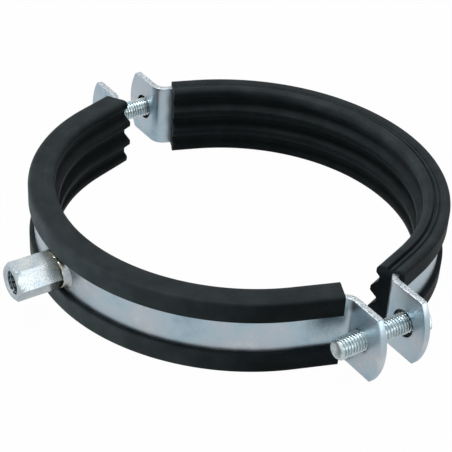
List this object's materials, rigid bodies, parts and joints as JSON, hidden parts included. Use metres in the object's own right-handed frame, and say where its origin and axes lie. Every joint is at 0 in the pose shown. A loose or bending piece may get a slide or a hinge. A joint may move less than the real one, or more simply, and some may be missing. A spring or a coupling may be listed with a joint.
{
  "type": "rubber lined pipe clamp",
  "caption": "Two-part pipe clamp with a ribbed rubber lining, two closing screws and a hexagonal connection nut for a threaded rod.",
  "frame": {"origin": "on the pipe's axis, halfway up the band", "axes": "+Z along the pipe, +X from the front half with its connection nut towards the rear half, +Y through the ears"},
  "size_m": [0.1811, 0.202, 0.0304],
  "materials": {
    "zinc_plated_strip": "satin, blue-white zinc plating",
    "zinc_plated_screw": "bright zinc plating",
    "zinc_plated_nut": "bright zinc plating over machined flats",
    "black_rubber": "matt extruded rubber"
  },
  "bodies": {
    "front_half": {"front_band": "zinc_plated_strip", "front_lining": "black_rubber", "connection_nut": "zinc_plated_nut"},
    "rear_half": {"rear_band": "zinc_plated_strip", "rear_lining": "black_rubber"},
    "left_screw": {"left_screw": "zinc_plated_screw"},
    "right_screw": {"right_screw": "zinc_plated_screw"}
  },
  "joints": [
    {"name": "clamp_opening", "type": "slide", "parent": "front_half", "child": "rear_half", "axis": [1, 0, 0], "range_m": [-0.015, 0.0125]},
    {"name": "left_screw_turn", "type": "hinge", "parent": "rear_half", "child": "left_screw", "pos_m": [0.0125, 0.0896, 0], "axis": [1, 0, 0], "range_deg": [-4321, 3601]},
    {"name": "right_screw_turn", "type": "hinge", "parent": "rear_half", "child": "right_screw", "pos_m": [0.0125, -0.0896, 0], "axis": [1, 0, 0], "range_deg": [-4321, 3601]}
  ],
  "couplings": [
    {"joint": "left_screw_turn", "follows": "clamp_opening", "rad_per_m": 5026.5},
    {"joint": "right_screw_turn", "follows": "clamp_opening", "rad_per_m": 5026.5}
  ]
}
